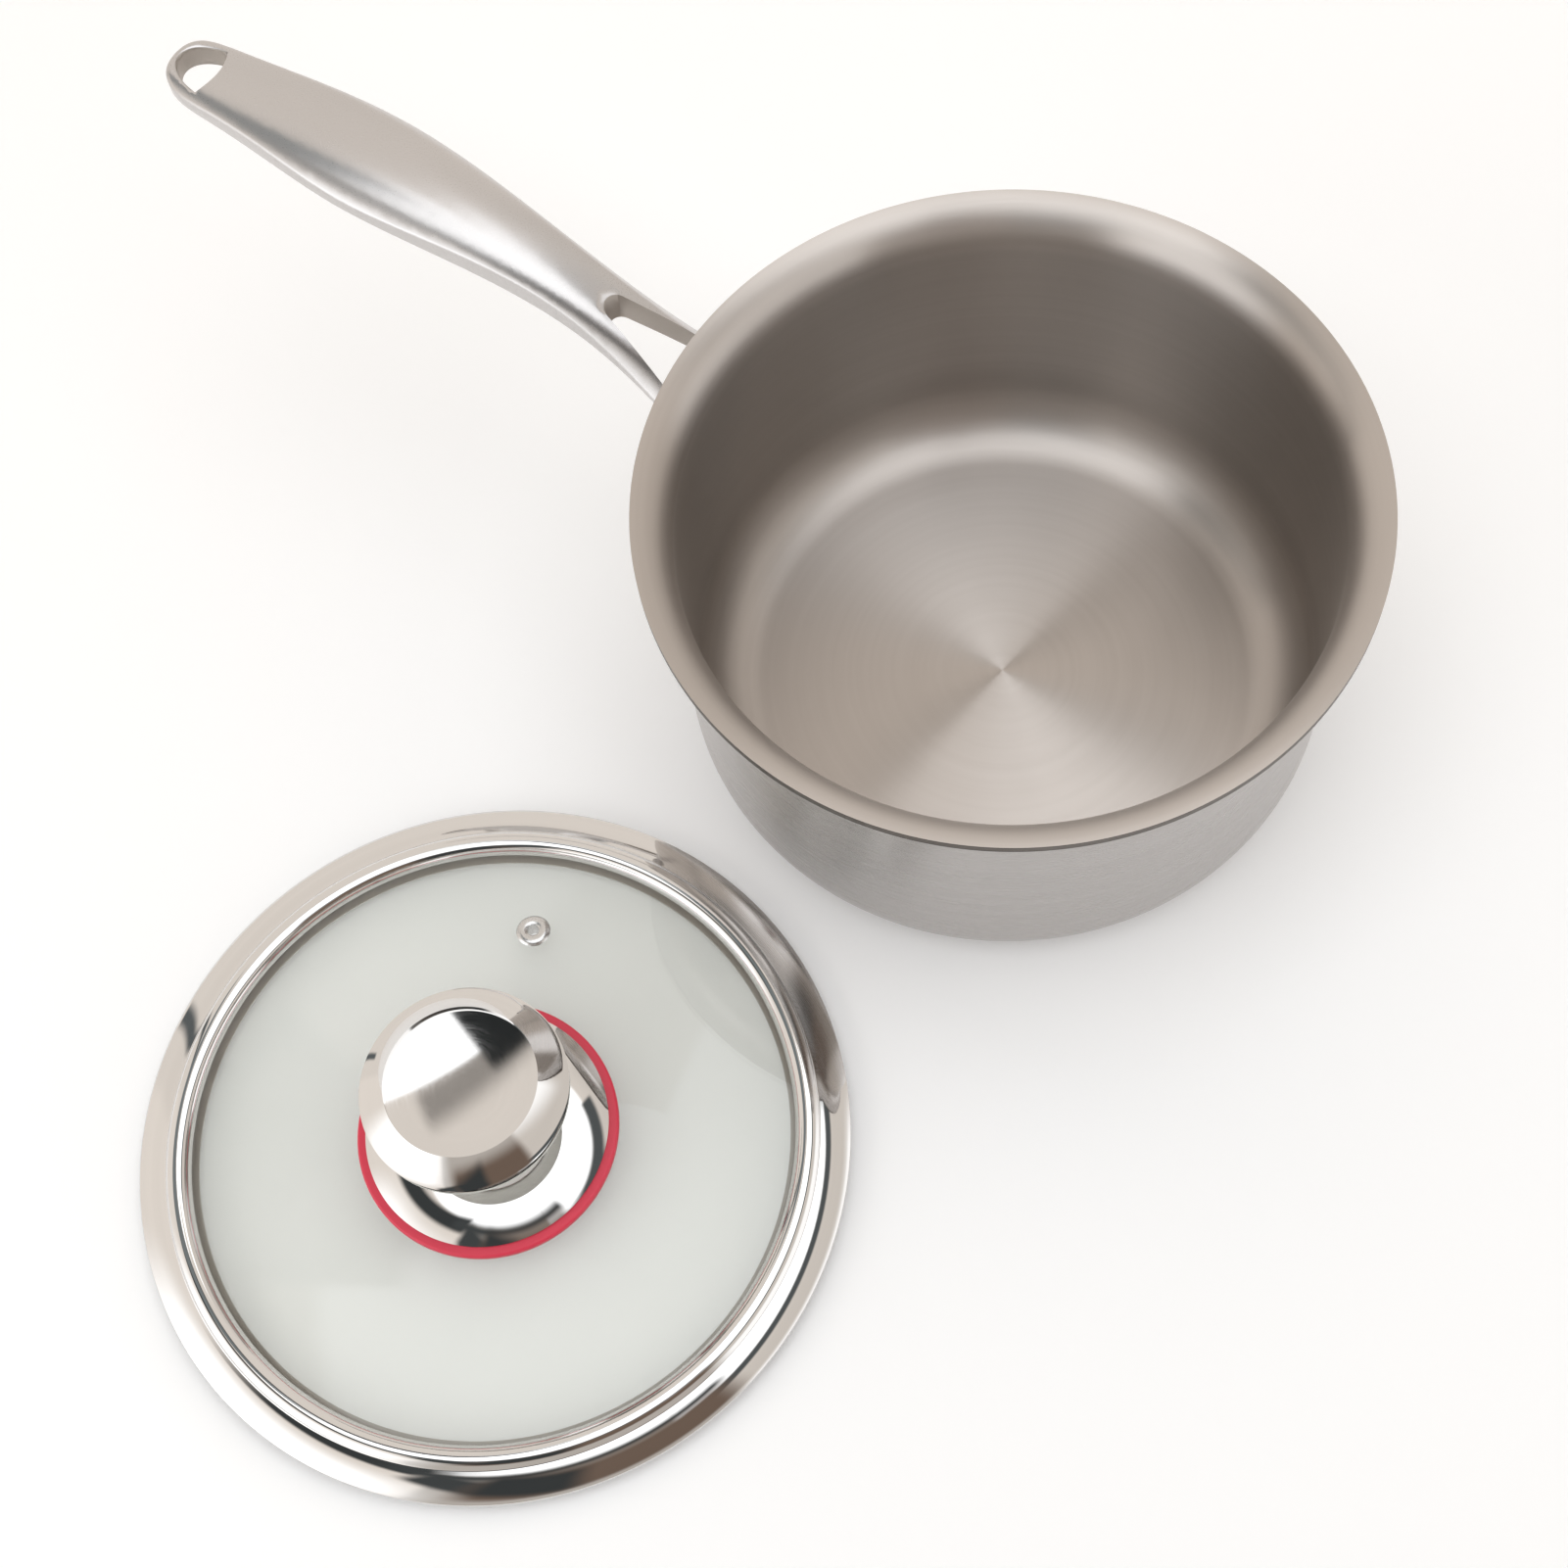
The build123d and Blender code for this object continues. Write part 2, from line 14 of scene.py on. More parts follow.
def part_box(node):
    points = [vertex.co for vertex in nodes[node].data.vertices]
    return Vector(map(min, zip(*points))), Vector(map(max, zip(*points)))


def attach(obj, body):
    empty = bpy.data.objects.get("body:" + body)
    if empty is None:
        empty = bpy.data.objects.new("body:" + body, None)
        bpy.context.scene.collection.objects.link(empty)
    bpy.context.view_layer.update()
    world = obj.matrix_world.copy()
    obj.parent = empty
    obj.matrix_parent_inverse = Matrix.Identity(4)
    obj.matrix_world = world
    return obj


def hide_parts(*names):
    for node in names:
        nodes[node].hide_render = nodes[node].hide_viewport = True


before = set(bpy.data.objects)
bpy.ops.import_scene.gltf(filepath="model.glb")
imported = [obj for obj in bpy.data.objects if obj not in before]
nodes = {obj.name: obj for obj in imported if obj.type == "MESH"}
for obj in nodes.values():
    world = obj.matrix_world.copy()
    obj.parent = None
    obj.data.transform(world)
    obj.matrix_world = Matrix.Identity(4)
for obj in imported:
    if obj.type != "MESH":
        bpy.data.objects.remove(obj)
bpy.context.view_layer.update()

# %% [markdown]
# All sizes are written in millimetres, as on the drawing, and turned into metres once. Places come from the
# CAD nodes' own boxes: the pan's axis is the world's Z axis, and the lid's axis goes through the middle of
# its band.

# %% Units and axes
MM = 0.001


def box_mm(node):
    low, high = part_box(node)
    return [v / MM for v in low], [v / MM for v in high]


band_low, band_high = box_mm("rim_band")
lid_x = (band_low[0] + band_high[0]) / 2
lid_y = (band_low[1] + band_high[1]) / 2
PAN_AXIS = (0.0, 0.0)
LID_AXIS = (lid_x, lid_y)
rim_radius = box_mm("outer_skin")[1][0]
core_top = box_mm("aluminium_core")[1][2]
print("lid axis at", round(lid_x, 2), round(lid_y, 2), "- rim radius", round(rim_radius, 2))

# %% [markdown]
# ## Turned pieces
# A pan, a lid and a knob are turned shapes, so each is drawn as half of its section and spun about its axis.
# The section is drawn with three strokes: a straight line, an arc about a centre, and the closing line.
# A line is an extruded vertex. An arc is a small spin of a vertex, so the curve is as fine as its steps. A
# full spin closes on itself with use_merge. A Screw modifier would turn the section too; the operator leaves
# a plain mesh that can be drilled and rounded afterwards.


# %% Strokes of a section
class Section:
    """Half of a turned piece's section: x is the distance from the axis and z the height, in millimetres."""

    def __init__(self, radius, height):
        self.mesh = bmesh.new()
        self.pen = self.mesh.verts.new((radius, 0, height))
        self.start = self.pen

    def line(self, radius, height):
        made = bmesh.ops.extrude_vert_indiv(self.mesh, verts=[self.pen])
        self.pen = made["verts"][0]
        self.pen.co = (radius, 0, height)
        return self

    def arc(self, centre, angle, steps=12):
        """Turns the pen about a centre; a positive angle goes from the radius towards the height."""
        made = bmesh.ops.spin(
            self.mesh,
            geom=[self.pen],
            cent=(centre[0], 0, centre[1]),
            axis=(0, -1, 0),
            dvec=(0, 0, 0),
            angle=radians(angle),
            steps=steps,
            use_merge=False,
            use_duplicate=False,
        )
        self.pen = [part for part in made["geom_last"] if isinstance(part, bmesh.types.BMVert)][0]
        return self

    def close(self):
        self.mesh.edges.new((self.pen, self.start))
        return self


# %% Spinning a section
SAME_POINT = 0.0005  # millimetres
SHARP = 35  # from this many degrees between two faces, their edge stays sharp


def spin_piece(name, section, axis, steps=180, sharp=SHARP):
    """Spins a section about a vertical axis and returns the piece, with its sharp edges kept sharp."""
    shape = section.mesh
    bmesh.ops.spin(
        shape,
        geom=list(shape.verts) + list(shape.edges),
        cent=(0, 0, 0),
        axis=(0, 0, 1),
        dvec=(0, 0, 0),
        angle=2 * pi,
        steps=steps,
        use_merge=True,
        use_duplicate=False,
    )
    bmesh.ops.remove_doubles(shape, verts=shape.verts, dist=SAME_POINT)
    bmesh.ops.recalc_face_normals(shape, faces=shape.faces)
    bmesh.ops.translate(shape, verts=shape.verts, vec=(axis[0], axis[1], 0))
    bmesh.ops.scale(shape, verts=shape.verts, vec=(MM, MM, MM))
    return keep_piece(name, shape, sharp)


def keep_piece(name, shape, sharp=SHARP):
    """Turns a bmesh into an object of the scene."""
    data = bpy.data.meshes.new(name)
    shape.to_mesh(data)
    shape.free()
    for face in data.polygons:
        face.use_smooth = True
    data.set_sharp_from_angle(angle=radians(sharp))
    piece = bpy.data.objects.new(name, data)
    bpy.context.scene.collection.objects.link(piece)
    print(name, len(data.polygons), "faces")
    return piece


# %% Dressing a piece
def dress(piece, body, slot, material, *replaced):
    """Gives a piece its finish, hangs it on its body's empty, and hides the CAD nodes that it stands for."""
    piece.data.materials.clear()
    piece.data.materials.append(material)
    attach(piece, body)
    if replaced:
        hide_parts(*replaced)


# %% [markdown]
# ## Finishes
# Every metal here is stainless steel or aluminium, so the materials share two effects, each a node group that
# is built once. The first is the fine rings that a lathe or a brush leaves round an axis: noise that is read by
# the distance from the axis changes fast across the rings and slowly along them. The second is the fine grain of
# blasted steel. A painted image could hold both, but noise has no seams and stays sharp close up.


# %% Node helpers
def new_group(name, inputs, outputs):
    group = bpy.data.node_groups.new(name, "ShaderNodeTree")
    for label, kind, value in inputs:
        socket = group.interface.new_socket(label, in_out="INPUT", socket_type=kind)
        if value is not None:
            socket.default_value = value
    for label, kind in outputs:
        group.interface.new_socket(label, in_out="OUTPUT", socket_type=kind)
    return group, group.nodes.new("NodeGroupInput"), group.nodes.new("NodeGroupOutput")


def math_node(tree, operation, first, second=None, third=None, clamp=False):
    node = tree.nodes.new("ShaderNodeMath")
    node.operation = operation
    node.use_clamp = clamp
    for index, value in enumerate((first, second, third)):
        if value is None:
            continue
        if isinstance(value, (int, float)):
            node.inputs[index].default_value = value
        else:
            tree.links.new(value, node.inputs[index])
    return node.outputs[0]


# %% Rings round an axis
def build_ring_group():
    group, source, sink = new_group(
        "Rings round an axis",
        [
            ("Vector", "NodeSocketVector", None),
            ("Rings per metre", "NodeSocketFloat", 4000.0),
            ("Streak length", "NodeSocketFloat", 3.0),
        ],
        [("Height", "NodeSocketFloat"), ("Streaks", "NodeSocketFloat")],
    )
    split = group.nodes.new("ShaderNodeSeparateXYZ")
    group.links.new(source.outputs["Vector"], split.inputs[0])
    x, y, z = split.outputs
    radius = math_node(
        group, "SQRT", math_node(group, "ADD", math_node(group, "MULTIPLY", x, x), math_node(group, "MULTIPLY", y, y))
    )
    safe = math_node(group, "MAXIMUM", radius, 0.00001)
    across = math_node(group, "DIVIDE", x, safe)
    along = math_node(group, "DIVIDE", y, safe)
    spread = source.outputs["Streak length"]
    place = group.nodes.new("ShaderNodeCombineXYZ")
    group.links.new(math_node(group, "MULTIPLY", across, spread), place.inputs[0])
    group.links.new(math_node(group, "MULTIPLY", along, spread), place.inputs[1])
    count = source.outputs["Rings per metre"]
    group.links.new(math_node(group, "MULTIPLY", radius, count), place.inputs[2])
    noise = group.nodes.new("ShaderNodeTexNoise")
    noise.noise_dimensions = "4D"
    noise.inputs["Scale"].default_value = 1.0
    noise.inputs["Detail"].default_value = 3.0
    noise.inputs["Roughness"].default_value = 0.6
    group.links.new(place.outputs[0], noise.inputs["Vector"])
    group.links.new(math_node(group, "MULTIPLY", z, count), noise.inputs["W"])
    group.links.new(noise.outputs["Fac"], sink.inputs["Height"])
    slow = group.nodes.new("ShaderNodeTexNoise")
    slow.noise_dimensions = "4D"
    slow.inputs["Scale"].default_value = 0.11
    slow.inputs["Detail"].default_value = 4.0
    group.links.new(place.outputs[0], slow.inputs["Vector"])
    group.links.new(math_node(group, "MULTIPLY", z, count), slow.inputs["W"])
    group.links.new(slow.outputs["Fac"], sink.inputs["Streaks"])
    return group


ring_group = build_ring_group()
print("rings:", len(ring_group.nodes), "nodes")


# %% Grain of blasted steel
def build_grain_group():
    group, source, sink = new_group(
        "Fine grain",
        [
            ("Vector", "NodeSocketVector", None),
            ("Grains per metre", "NodeSocketFloat", 3000.0),
            ("Stretch", "NodeSocketVector", (1.0, 1.0, 1.0)),
        ],
        [("Height", "NodeSocketFloat"), ("Patches", "NodeSocketFloat")],
    )
    stretch = group.nodes.new("ShaderNodeVectorMath")
    stretch.operation = "MULTIPLY"
    group.links.new(source.outputs["Vector"], stretch.inputs[0])
    group.links.new(source.outputs["Stretch"], stretch.inputs[1])
    fine = group.nodes.new("ShaderNodeTexNoise")
    fine.inputs["Detail"].default_value = 2.0
    group.links.new(stretch.outputs[0], fine.inputs["Vector"])
    group.links.new(source.outputs["Grains per metre"], fine.inputs["Scale"])
    group.links.new(fine.outputs["Fac"], sink.inputs["Height"])
    slow = group.nodes.new("ShaderNodeTexNoise")
    slow.inputs["Detail"].default_value = 3.0
    group.links.new(stretch.outputs[0], slow.inputs["Vector"])
    group.links.new(math_node(group, "MULTIPLY", source.outputs["Grains per metre"], 0.01), slow.inputs["Scale"])
    group.links.new(slow.outputs["Fac"], sink.inputs["Patches"])
    return group


grain_group = build_grain_group()
print("grain:", len(grain_group.nodes), "nodes")


# %% [markdown]
# A material puts such an effect's two outputs to use: the slow one varies the colour a little, and the fine one
# the roughness and the bump. One colour and one roughness would look like painted plastic.


# %% Material helpers
def new_material(name, color, metallic, roughness):
    material = bpy.data.materials.new(name)
    material.use_nodes = True
    shader = material.node_tree.nodes["Principled BSDF"]
    shader.inputs["Base Color"].default_value = (*color, 1)
    shader.inputs["Metallic"].default_value = metallic
    shader.inputs["Roughness"].default_value = roughness
    return material, shader


def object_place(tree, centre=(0.0, 0.0)):
    """Object coordinates, measured from a vertical axis through a centre that is given in millimetres."""
    coordinates = tree.nodes.new("ShaderNodeTexCoord")
    mapping = tree.nodes.new("ShaderNodeMapping")
    mapping.inputs["Location"].default_value = (-centre[0] * MM, -centre[1] * MM, 0)
    tree.links.new(coordinates.outputs["Object"], mapping.inputs["Vector"])
    return mapping.outputs["Vector"]


NOISE_LOW, NOISE_HIGH = 0.3, 0.7  # noise hardly ever leaves this range


def between(tree, factor, low, high):
    """Spreads a noise between two numbers."""
    node = tree.nodes.new("ShaderNodeMapRange")
    tree.links.new(factor, node.inputs["Value"])
    node.inputs["From Min"].default_value = NOISE_LOW
    node.inputs["From Max"].default_value = NOISE_HIGH
    node.inputs["To Min"].default_value = low
    node.inputs["To Max"].default_value = high
    return node.outputs["Result"]


def between_colors(tree, factor, low, high):
    """Spreads a noise between two colours."""
    ramp = tree.nodes.new("ShaderNodeValToRGB")
    ramp.color_ramp.elements[0].position = NOISE_LOW
    ramp.color_ramp.elements[1].position = NOISE_HIGH
    ramp.color_ramp.elements[0].color = (*low, 1)
    ramp.color_ramp.elements[1].color = (*high, 1)
    tree.links.new(factor, ramp.inputs["Fac"])
    return ramp.outputs["Color"]


def bumped(tree, shader, height, strength, distance):
    """Lets a height push the surface's normals about; the distance is in metres."""
    bump = tree.nodes.new("ShaderNodeBump")
    bump.inputs["Strength"].default_value = strength
    bump.inputs["Distance"].default_value = distance
    tree.links.new(height, bump.inputs["Height"])
    tree.links.new(bump.outputs["Normal"], shader.inputs["Normal"])


def add_effect(tree, group, place, values):
    """Puts a shared effect into a material, with the material's own values, and returns its outputs."""
    node = tree.nodes.new("ShaderNodeGroup")
    node.node_tree = group
    for label, value in values.items():
        node.inputs[label].default_value = value
    tree.links.new(place, node.inputs["Vector"])
    return node.outputs


# %% Ringed steel
RING_DEPTH, GRAIN_DEPTH = 0.00002, 0.00003  # metres
WALL_TOP = 0.1  # metres


def paint_wall_shade(tree, color, wall):
    """Paints shade on the upright wall: its colour is darkened by height, most between the corner and the flare."""
    height = tree.nodes.new("ShaderNodeSeparateXYZ")
    tree.links.new(object_place(tree), height.inputs[0])
    ramp = tree.nodes.new("ShaderNodeValToRGB")
    ramp.color_ramp.interpolation = "EASE"
    ramp.color_ramp.elements[0].position = 0.10  # shares of the wall's height
    ramp.color_ramp.elements[1].position = 0.97
    for place in (0.26, 0.84):
        ramp.color_ramp.elements.new(place).color = (wall, wall, wall, 1)
    ramp.color_ramp.elements[0].color = ramp.color_ramp.elements[3].color = (1, 1, 1, 1)
    tree.links.new(math_node(tree, "DIVIDE", height.outputs["Z"], WALL_TOP), ramp.inputs["Fac"])
    mix = tree.nodes.new("ShaderNodeMix")
    mix.data_type = "RGBA"
    mix.blend_type = "MULTIPLY"
    mix.inputs["Factor"].default_value = 1.0
    tree.links.new(color, mix.inputs["A"])
    tree.links.new(ramp.outputs["Color"], mix.inputs["B"])
    return mix.outputs["Result"]


def ringed_steel(name, low, high, roughness, centre, anisotropic, bump, rings=4000.0, wall=1.0):
    """Steel brushed in rings round an axis: its highlights spread across the rings, as on a turned floor."""
    material, shader = new_material(name, low, 1.0, roughness[0])
    tree = material.node_tree
    effect = add_effect(tree, ring_group, object_place(tree, centre), {"Rings per metre": rings})
    color = between_colors(tree, effect["Streaks"], low, high)
    # painted shade: the upright wall's colour is darkened by height
    if wall < 1:
        color = paint_wall_shade(tree, color, wall)
    tree.links.new(color, shader.inputs["Base Color"])
    tree.links.new(between(tree, effect["Height"], *roughness), shader.inputs["Roughness"])
    bumped(tree, shader, effect["Height"], bump, RING_DEPTH)
    shader.inputs["Anisotropic"].default_value = anisotropic
    shader.inputs["Anisotropic Rotation"].default_value = 0.25  # a quarter turn
    tangent = tree.nodes.new("ShaderNodeTangent")
    tangent.direction_type = "RADIAL"
    tangent.axis = "Z"
    tree.links.new(tangent.outputs[0], shader.inputs["Tangent"])
    return material


# %% Grained surfaces
def grained(name, low, high, roughness, grains=3000.0, stretch=(1, 1, 1), bump=0.1, metallic=1.0):
    """A satin surface with a fine grain: blasted or sawn steel, or, with no metal in it, rubber and plastic."""
    material, shader = new_material(name, low, metallic, roughness[0])
    tree = material.node_tree
    effect = add_effect(tree, grain_group, object_place(tree), {"Grains per metre": grains, "Stretch": stretch})
    tree.links.new(between_colors(tree, effect["Patches"], low, high), shader.inputs["Base Color"])
    tree.links.new(between(tree, effect["Height"], *roughness), shader.inputs["Roughness"])
    bumped(tree, shader, effect["Height"], bump, GRAIN_DEPTH)
    return material


# %% [markdown]
# The pan is satin inside and out. A highlight on brushed rings spreads out across them, which makes the bow tie
# of light on the floor. An anisotropic shader does that by itself, where real grooves would need millions of faces.
# The rim's edge is coloured as a grey line, the core, between two near-black ones, the skins: these colours,
# far darker than the metals', draw the dark lines along the rim. The casting is blasted satin, and duller and
# darker on the walls of its openings. The lid's band and knob are polished, so they show the room more than a
# colour of their own. The band's inner side keeps the dull mill finish of the sheet.

# %% The metals
# wall=0.74 paints shade on the inside: the upright wall's colour is darkened to 0.74 times between corner and flare
inside_steel = ringed_steel(
    "satin inside of the pan", (0.54, 0.495, 0.46), (0.565, 0.52, 0.485), (0.28, 0.32), PAN_AXIS,
    anisotropic=1.0, bump=0.03, wall=0.74,
)
outside_steel = ringed_steel(
    "satin outside of the pan", (0.475, 0.45, 0.435), (0.50, 0.475, 0.46), (0.26, 0.29), PAN_AXIS,
    anisotropic=0.6, bump=0.03,
)
# the edges are coloured far darker than steel and aluminium, so that they draw the dark lines along the rim
cut_edge = grained("cut edge of the core", (0.13, 0.115, 0.10), (0.18, 0.16, 0.145), (0.4, 0.5))
trimmed_edge = grained("trimmed edge of the skins", (0.06, 0.05, 0.045), (0.10, 0.085, 0.075), (0.35, 0.45))
handle_steel = grained(
    "satin cast steel", (0.58, 0.56, 0.55), (0.61, 0.59, 0.58), (0.27, 0.31),
    grains=6000.0, stretch=(0.3, 1, 1), bump=0.03,
)
opening_wall_steel = grained("walls of the openings", (0.44, 0.40, 0.36), (0.52, 0.475, 0.435), (0.5, 0.6))
weld_steel = grained("welds", (0.50, 0.47, 0.44), (0.56, 0.53, 0.50), (0.35, 0.45))
polished_steel = ringed_steel(
    "polished steel", (0.70, 0.685, 0.67), (0.73, 0.715, 0.70), (0.02, 0.05), LID_AXIS,
    anisotropic=0.0, bump=0.002, rings=2500.0,
)
mill_steel = grained("mill finish", (0.60, 0.54, 0.49), (0.68, 0.62, 0.57), (0.5, 0.6), metallic=0.2)
fixing_steel = grained("bright fixings", (0.62, 0.61, 0.60), (0.67, 0.66, 0.65), (0.2, 0.3))
print("materials so far:", len(bpy.data.materials))

# %% [markdown]
# Toughened glass is almost clear, with a little green that shows where it is thick, and it varies hardly at all.
# Its colour is also greyed to about 0.8: painted shade that stands in for the shadow the glass doesn't throw.
# Silicone is a soft matt rubber with a slight sheen, and the bush under the knob is pale nylon. Both take the same
# fine grain as the casting, with no metal in it.

# %% Glass, silicone and nylon
glass, glass_shader = new_material("clear glass", (0.80, 0.81, 0.78), 0.0, 0.0)
glass_shader.inputs["Transmission Weight"].default_value = 1.0
glass_shader.inputs["IOR"].default_value = 1.5
tree = glass.node_tree
effect = add_effect(tree, grain_group, object_place(tree), {})
# painted shade: the glass is greyed to about 0.8 in place of the shadow it doesn't throw
tint = between_colors(tree, effect["Patches"], (0.795, 0.806, 0.776), (0.805, 0.814, 0.785))
tree.links.new(tint, glass_shader.inputs["Base Color"])
silicone = grained("red silicone", (0.70, 0.035, 0.075), (0.78, 0.045, 0.09), (0.35, 0.45), grains=1500.0, metallic=0.0)
nylon = grained("pale nylon", (0.72, 0.70, 0.65), (0.78, 0.76, 0.71), (0.5, 0.6), metallic=0.0)
print("materials:", len(bpy.data.materials))

# %% [markdown]
# ## The three plies
# Each ply is drawn from the axis out to the trimmed rim and back along its other face. One thick wall with lines
# painted on its edge would look alike from afar, but three pieces give each sheet its own finish and a true edge.
# The flare is set out from the core's top, not from the skin's, so the rim ends 0.5 mm lower than in the CAD model.

# %% The vessel
floor_thickness = 2.4
skin = 0.5
mouth_radius = 90.0
flare_radius = 12.5
corner_radius = 17.6
fan_radius = 70.0  # inside this the floor is one fan of long faces
flare_axis = mouth_radius + flare_radius
flare_start = core_top - sqrt(flare_radius**2 - (flare_axis - rim_radius) ** 2)
print("flare starts at", round(flare_start, 2), "mm")


def draw_ply(near, far):
    """Draws the sheet between two depths below the cooking surface."""

    def turn(depth):
        return degrees(acos((flare_axis - rim_radius) / (flare_radius - depth)))

    ply = Section(0, floor_thickness - near)
    ply.line(fan_radius, floor_thickness - near).line(mouth_radius - corner_radius, floor_thickness - near)
    ply.arc((mouth_radius - corner_radius, floor_thickness + corner_radius), 90, 16)
    ply.line(mouth_radius + near, flare_start).arc((flare_axis, flare_start), -turn(near), 16)
    rise = sqrt((flare_radius - far) ** 2 - (flare_axis - rim_radius) ** 2)
    ply.line(rim_radius, flare_start + rise).arc((flare_axis, flare_start), turn(far), 16)
    ply.line(mouth_radius + far, floor_thickness + corner_radius)
    ply.arc((mouth_radius - corner_radius, floor_thickness + corner_radius), -90, 16)
    return ply.line(0, floor_thickness - far).close()


# %% The plies and their cut edges
edge_depth = 0.02  # a face of the cut edge lies this near the rim's radius
plies = {
    "cooking_skin": (0, skin, inside_steel, trimmed_edge),
    "aluminium_core": (skin, floor_thickness - skin, cut_edge, cut_edge),
    "outer_skin": (floor_thickness - skin, floor_thickness, outside_steel, trimmed_edge),
}
for ply_name, (near, far, finish, edge_finish) in plies.items():
    ply = spin_piece("pan_" + ply_name, draw_ply(near, far), PAN_AXIS, steps=256)
    dress(ply, "pan", ply_name, finish, ply_name)
    ply.data.materials.append(edge_finish)
    for face in ply.data.polygons:
        radius = hypot(face.center.x, face.center.y) / MM
        upright = abs(face.normal.z) < 0.1
        if upright and radius > rim_radius - edge_depth:
            face.material_index = 1

# %% [markdown]
# ## The handle
# The casting is a free shape, so the CAD solid is kept. Its mesh comes as loose triangles. A copy of it is
# merged and smooth shaded, so that the satin finish runs over it without a break. The walls of its two openings,
# the fork's gap and the hanging hole, are the upright faces that look towards the opening's middle. They get a
# duller finish, since a cut face would otherwise mirror like a lamp, and a darker, browner colour. The plug welds
# are copied in the same way.


# %% Merged copies of CAD solids
def merged_copy(name, node):
    shape = bmesh.new()
    shape.from_mesh(nodes[node].data)
    bmesh.ops.remove_doubles(shape, verts=shape.verts, dist=0.001 * MM)
    return keep_piece(name, shape, sharp=40)


handle = merged_copy("cast_handle", "handle")
dress(handle, "pan", "handle", handle_steel, "handle")
handle.data.materials.append(opening_wall_steel)
fork_middle = Vector((-0.115, 0, 0))
hole_middle = Vector((-0.255, 0, 0))
for face in handle.data.polygons:
    middle = min(fork_middle, hole_middle, key=lambda place: abs(place.x - face.center.x))
    upright = abs(face.normal.z) < 0.05
    if upright and (middle - face.center).dot(face.normal) > 0:
        face.material_index = 1
print("faces of the openings:", sum(face.material_index for face in handle.data.polygons))
welds = merged_copy("plug_welds", "handle_welds")
dress(welds, "pan", "handle_welds", weld_steel, "handle_welds")

# %% [markdown]
# ## The lid
# The band is one strip of sheet that is rolled into its section: a round bead over the glass, a flange out to
# a hemmed edge, the underside, and a skirt that ends in a lip under the glass. It is drawn along the middle of
# the strip as a row of bends, as a roll former sets it out, then spun, and Solidify gives the strip its
# thickness.


# %% Bends of a strip
class Strip(Section):
    """A section drawn by a pen that knows where it is heading."""

    def __init__(self, radius, height, heading):
        super().__init__(radius, height)
        self.heading = heading

    def straight(self, length):
        heading = radians(self.heading)
        return self.line(self.pen.co.x + length * cos(heading), self.pen.co.z + length * sin(heading))

    def bend(self, radius, angle, steps=8):
        """A positive angle bends to the left of the heading."""
        side = radians(self.heading + (90 if angle > 0 else -90))
        centre = (self.pen.co.x + radius * cos(side), self.pen.co.z + radius * sin(side))
        self.arc(centre, angle, steps)
        self.heading += angle
        return self


# %% Thickness
def keep_result(piece, sharp=SHARP):
    """Turns what the modifiers make into the piece's own mesh."""
    bpy.context.view_layer.update()
    data = bpy.data.meshes.new_from_object(piece.evaluated_get(bpy.context.evaluated_depsgraph_get()))
    piece.modifiers.clear()
    piece.data = data
    data.set_sharp_from_angle(angle=radians(sharp))


def thicken(piece, thickness, offset, sharp=SHARP, second_side=0):
    """Gives a spun strip its thickness; its second side may have another material."""
    wall = piece.modifiers.new("sheet", "SOLIDIFY")
    wall.material_offset = second_side
    wall.thickness = thickness * MM
    wall.offset = offset
    wall.use_even_offset = True
    keep_result(piece, sharp)
    return piece


def compare(piece, node):
    """Prints a piece's size beside the size of the CAD node that it stands for."""
    made = [round(side / MM, 2) for side in piece.dimensions]
    drawn = [round(end - start, 2) for start, end in zip(*box_mm(node))]
    print(piece.name, made, "CAD", drawn)


# %% The rim band
band_sheet = 0.6
strip = Strip(84.5, 6.836, 81.38)
strip.bend(3.497, -133.87, 20).bend(0.8, 41.64, 6).bend(21.77, -22.15, 10)
strip.bend(0.5, -180, 12).bend(20.77, 22.99, 10).bend(1.13, 100.01, 10).straight(5.0)
strip.bend(0.8, -90, 6).straight(0.2).bend(0.8, -90, 6).straight(0.277).bend(0.45, 80.51, 6).straight(4.79)
band = spin_piece("rim_band_steel", strip, LID_AXIS, steps=200)
band.data.materials.append(polished_steel)
band.data.materials.append(mill_steel)
band = thicken(band, band_sheet, 0, second_side=1)
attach(band, "lid")
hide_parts("rim_band")
compare(band, "rim_band")

# %% [markdown]
# The glass is a shallow dome of even thickness. Its two faces are arcs about one centre far below the lid. A part
# of a sphere would give the top face alone; the drawn section gives both faces and the edge, which a bevel rounds
# as grinding does. Light passes through real glass, but the renderer would give it a dark shadow, so this piece
# throws none; instead the glass's grey colour paints in the shade under the lid.

# %% The glass
dome_radius = 520.0
glass_thickness = 4.0
glass_radius = box_mm("lid_glass")[1][0] - lid_x
hub_radius = 3.8
dome_height = box_mm("lid_glass")[1][2] - sqrt(dome_radius**2 - hub_radius**2)
vent_distance = 59.8
vent_bearing = 111.0
vent_hole_radius = 2.25


def dome_top(radius):
    """Height of the glass's upper face at a distance from the lid's axis."""
    return dome_height + sqrt(dome_radius**2 - radius**2)


def dome_underside(radius):
    return dome_height + sqrt((dome_radius - glass_thickness) ** 2 - radius**2)


def draw_glass():
    outer_turn = degrees(asin(glass_radius / dome_radius) - asin(hub_radius / dome_radius))
    inner = dome_radius - glass_thickness
    inner_turn = degrees(asin(glass_radius / inner) - asin(hub_radius / inner))
    section = Section(hub_radius, dome_top(hub_radius))
    section.arc((0, dome_height), -outer_turn, 20)
    section.line(glass_radius, dome_underside(glass_radius))
    section.arc((0, dome_height), inner_turn, 20)
    return section.close()


